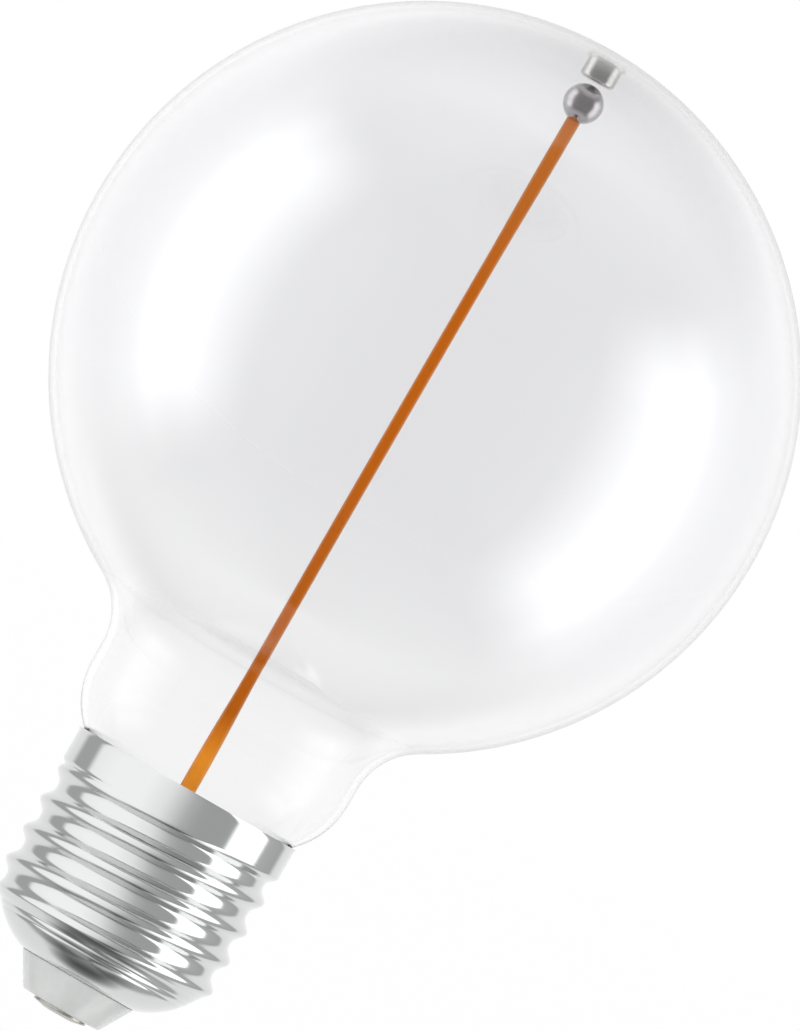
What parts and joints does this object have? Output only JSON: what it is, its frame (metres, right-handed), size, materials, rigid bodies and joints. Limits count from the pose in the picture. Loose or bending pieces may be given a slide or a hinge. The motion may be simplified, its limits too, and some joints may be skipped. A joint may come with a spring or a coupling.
{
  "type": "globe bulb",
  "caption": "Clear glass globe lamp with one upright filament strip held straight by a magnet in the crown, on a nickel screw cap.",
  "frame": {"origin": "centre of the contact's flat face, at the foot of the screw cap", "axes": "+Z along the lamp's axis from the contact to the globe's crown; +X to the side where the first full thread crest stands"},
  "size_m": [0.08, 0.08, 0.118],
  "materials": {
    "clear_glass": "clear blown soda-lime glass, polished",
    "stem_glass": "clear pressed glass",
    "filament_silicone": "phosphor-filled silicone, soft sheen",
    "ball_steel": "polished bearing steel",
    "cup_steel": "bright nickel plate",
    "magnet_nickel": "nickel-plated neodymium magnet",
    "adhesive_clear": "cured clear adhesive",
    "cap_nickel": "nickel-plated sheet, bright, faintly drawn",
    "insulator_plastic": "pale grey moulded plastic",
    "contact_metal": "nickel-plated brass contact",
    "cement_white": "off-white basing cement",
    "board_laminate": "pale glass-epoxy laminate",
    "can_sleeve": "shrunk sleeve on an aluminium can",
    "package_black": "black moulding compound with tinned legs",
    "resistor_ceramic": "dark glazed ceramic with tinned end caps",
    "film_box": "yellow boxed film capacitor",
    "resistor_lacquer": "lacquered resistor body",
    "sleeve_black": "shrunk black sleeve",
    "ferrite": "dark grey ferrite",
    "winding_copper": "enamelled copper wire, wound",
    "tinned_wire": "tinned wire",
    "lead_metal": "nickel-iron lead wire",
    "terminal_nickel": "stamped nickel tab"
  },
  "bodies": {
    "root": {"glass_globe": "clear_glass", "glass_stem": "stem_glass", "filament_strip": "filament_silicone", "steel_ball": "ball_steel", "magnet_cup": "cup_steel", "magnet": "magnet_nickel", "dome_adhesive": "adhesive_clear", "screw_shell": "cap_nickel", "insulator": "insulator_plastic", "contact_eyelet": "contact_metal", "basing_cement": "cement_white", "driver_board": "board_laminate", "smoothing_capacitor": "can_sleeve", "bridge_rectifier": "package_black", "driver_chip": "package_black", "chip_resistors": "resistor_ceramic", "filter_capacitor": "film_box", "fusible_resistor": "resistor_lacquer", "resistor_sleeve": "sleeve_black", "choke_core": "ferrite", "choke_winding": "winding_copper", "live_wire": "tinned_wire", "neutral_wire": "tinned_wire", "terminal_live": "terminal_nickel", "lead_wire_live": "lead_metal", "terminal_neutral": "terminal_nickel", "lead_wire_neutral": "lead_metal"}
  },
  "joints": []
}
